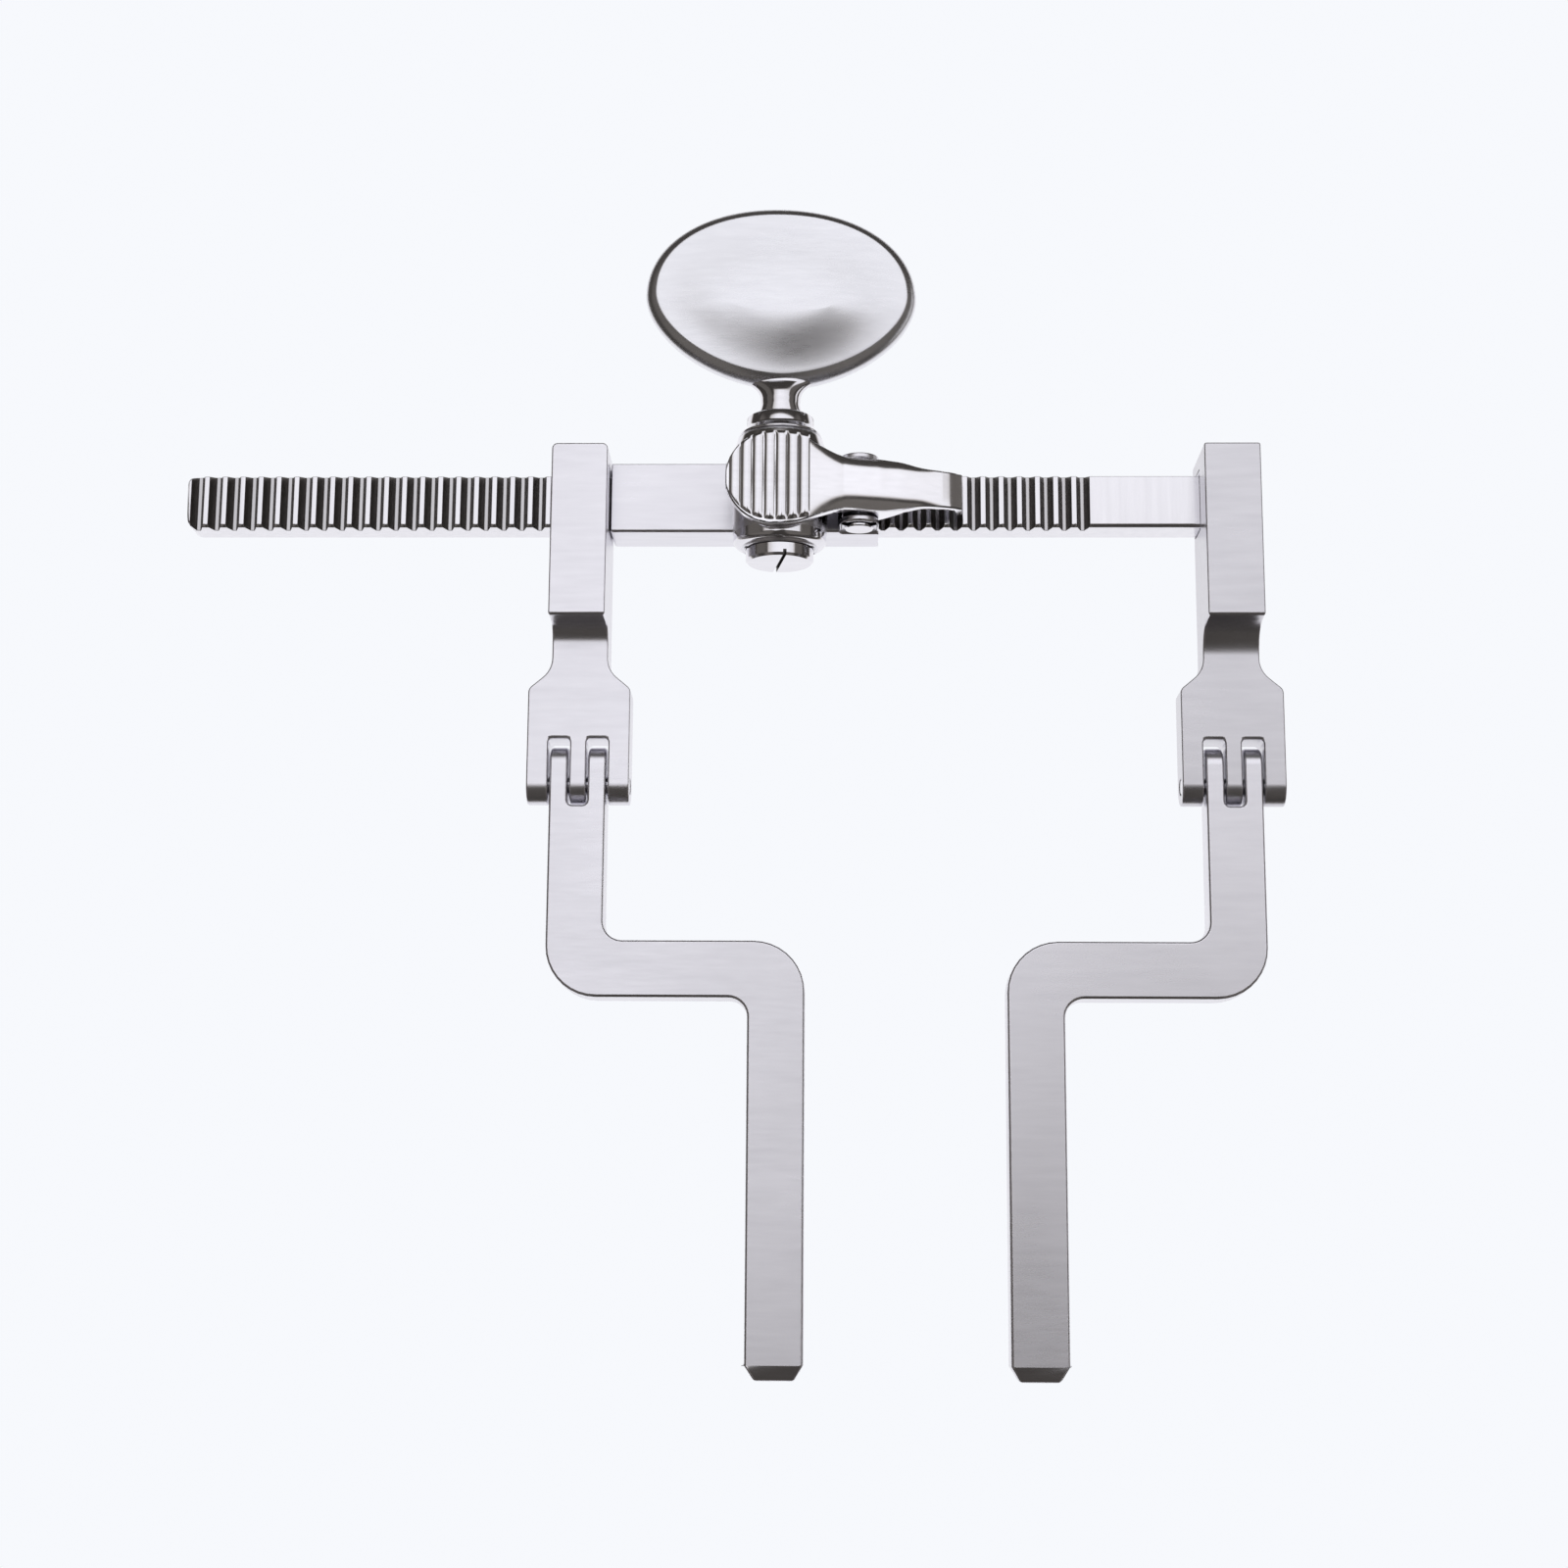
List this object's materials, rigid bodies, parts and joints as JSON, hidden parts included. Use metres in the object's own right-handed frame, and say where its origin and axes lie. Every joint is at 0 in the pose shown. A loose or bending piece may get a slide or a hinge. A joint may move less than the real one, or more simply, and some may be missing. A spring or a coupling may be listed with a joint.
{
  "type": "spinal retractor",
  "caption": "Self-retaining retractor frame: toothed bar, sliding housing with thumb key and pawl lever, and two arms on hinges that end in blade posts.",
  "frame": {"origin": "on the flat back face of the fixed arm's base, on the toothed bar's centreline", "axes": "+X along the toothed bar from its free end towards the fixed arm, +Y from the blade posts towards the thumb key, +Z out of the back towards the front with the teeth and lever"},
  "size_m": [0.1573, 0.167, 0.018],
  "materials": {
    "satin_steel": "satin stainless steel with a fine grain",
    "polished_steel": "polished stainless steel"
  },
  "bodies": {
    "rack": {"rack_bar": "satin_steel", "rack_dowel": "polished_steel", "fixed_arm_base": "satin_steel", "fixed_hinge_pin": "polished_steel"},
    "slider": {"slider_housing": "satin_steel", "moving_arm_base": "satin_steel", "moving_hinge_pin": "polished_steel", "upper_bush": "polished_steel", "lower_plug": "polished_steel", "lever_pivot_pin": "polished_steel"},
    "pinion": {"pinion_shaft": "polished_steel", "thrust_washer": "polished_steel", "thumb_key": "satin_steel", "key_cross_pin": "polished_steel"},
    "lever": {"release_lever": "polished_steel"},
    "moving_arm": {"moving_blade_arm": "satin_steel"},
    "fixed_arm": {"fixed_blade_arm": "satin_steel"}
  },
  "joints": [
    {"name": "slider_travel", "type": "slide", "parent": "rack", "child": "slider", "axis": [1, 0, 0], "range_m": [-0.0522, 0.01827]},
    {"name": "key_turn", "type": "hinge", "parent": "slider", "child": "pinion", "pos_m": [-0.0642, 0, 0.00889], "axis": [0, 1, 0], "range_deg": [-905, 320]},
    {"name": "pawl_release", "type": "hinge", "parent": "slider", "child": "lever", "pos_m": [-0.0529, 0, 0.0102], "axis": [0, 1, 0], "range_deg": [0, 7.5], "stiffness_Nm_per_rad": 0.02, "springref_deg": 7.5},
    {"name": "moving_arm_fold", "type": "hinge", "parent": "slider", "child": "moving_arm", "pos_m": [-0.0927, -0.0413, 0.00275], "axis": [1, 0, 0], "range_deg": [-90, 90]},
    {"name": "fixed_arm_fold", "type": "hinge", "parent": "rack", "child": "fixed_arm", "pos_m": [0, -0.0413, 0.00275], "axis": [1, 0, 0], "range_deg": [-90, 90]}
  ],
  "couplings": [
    {"joint": "key_turn", "follows": "slider_travel", "rad_per_m": 300.92}
  ]
}
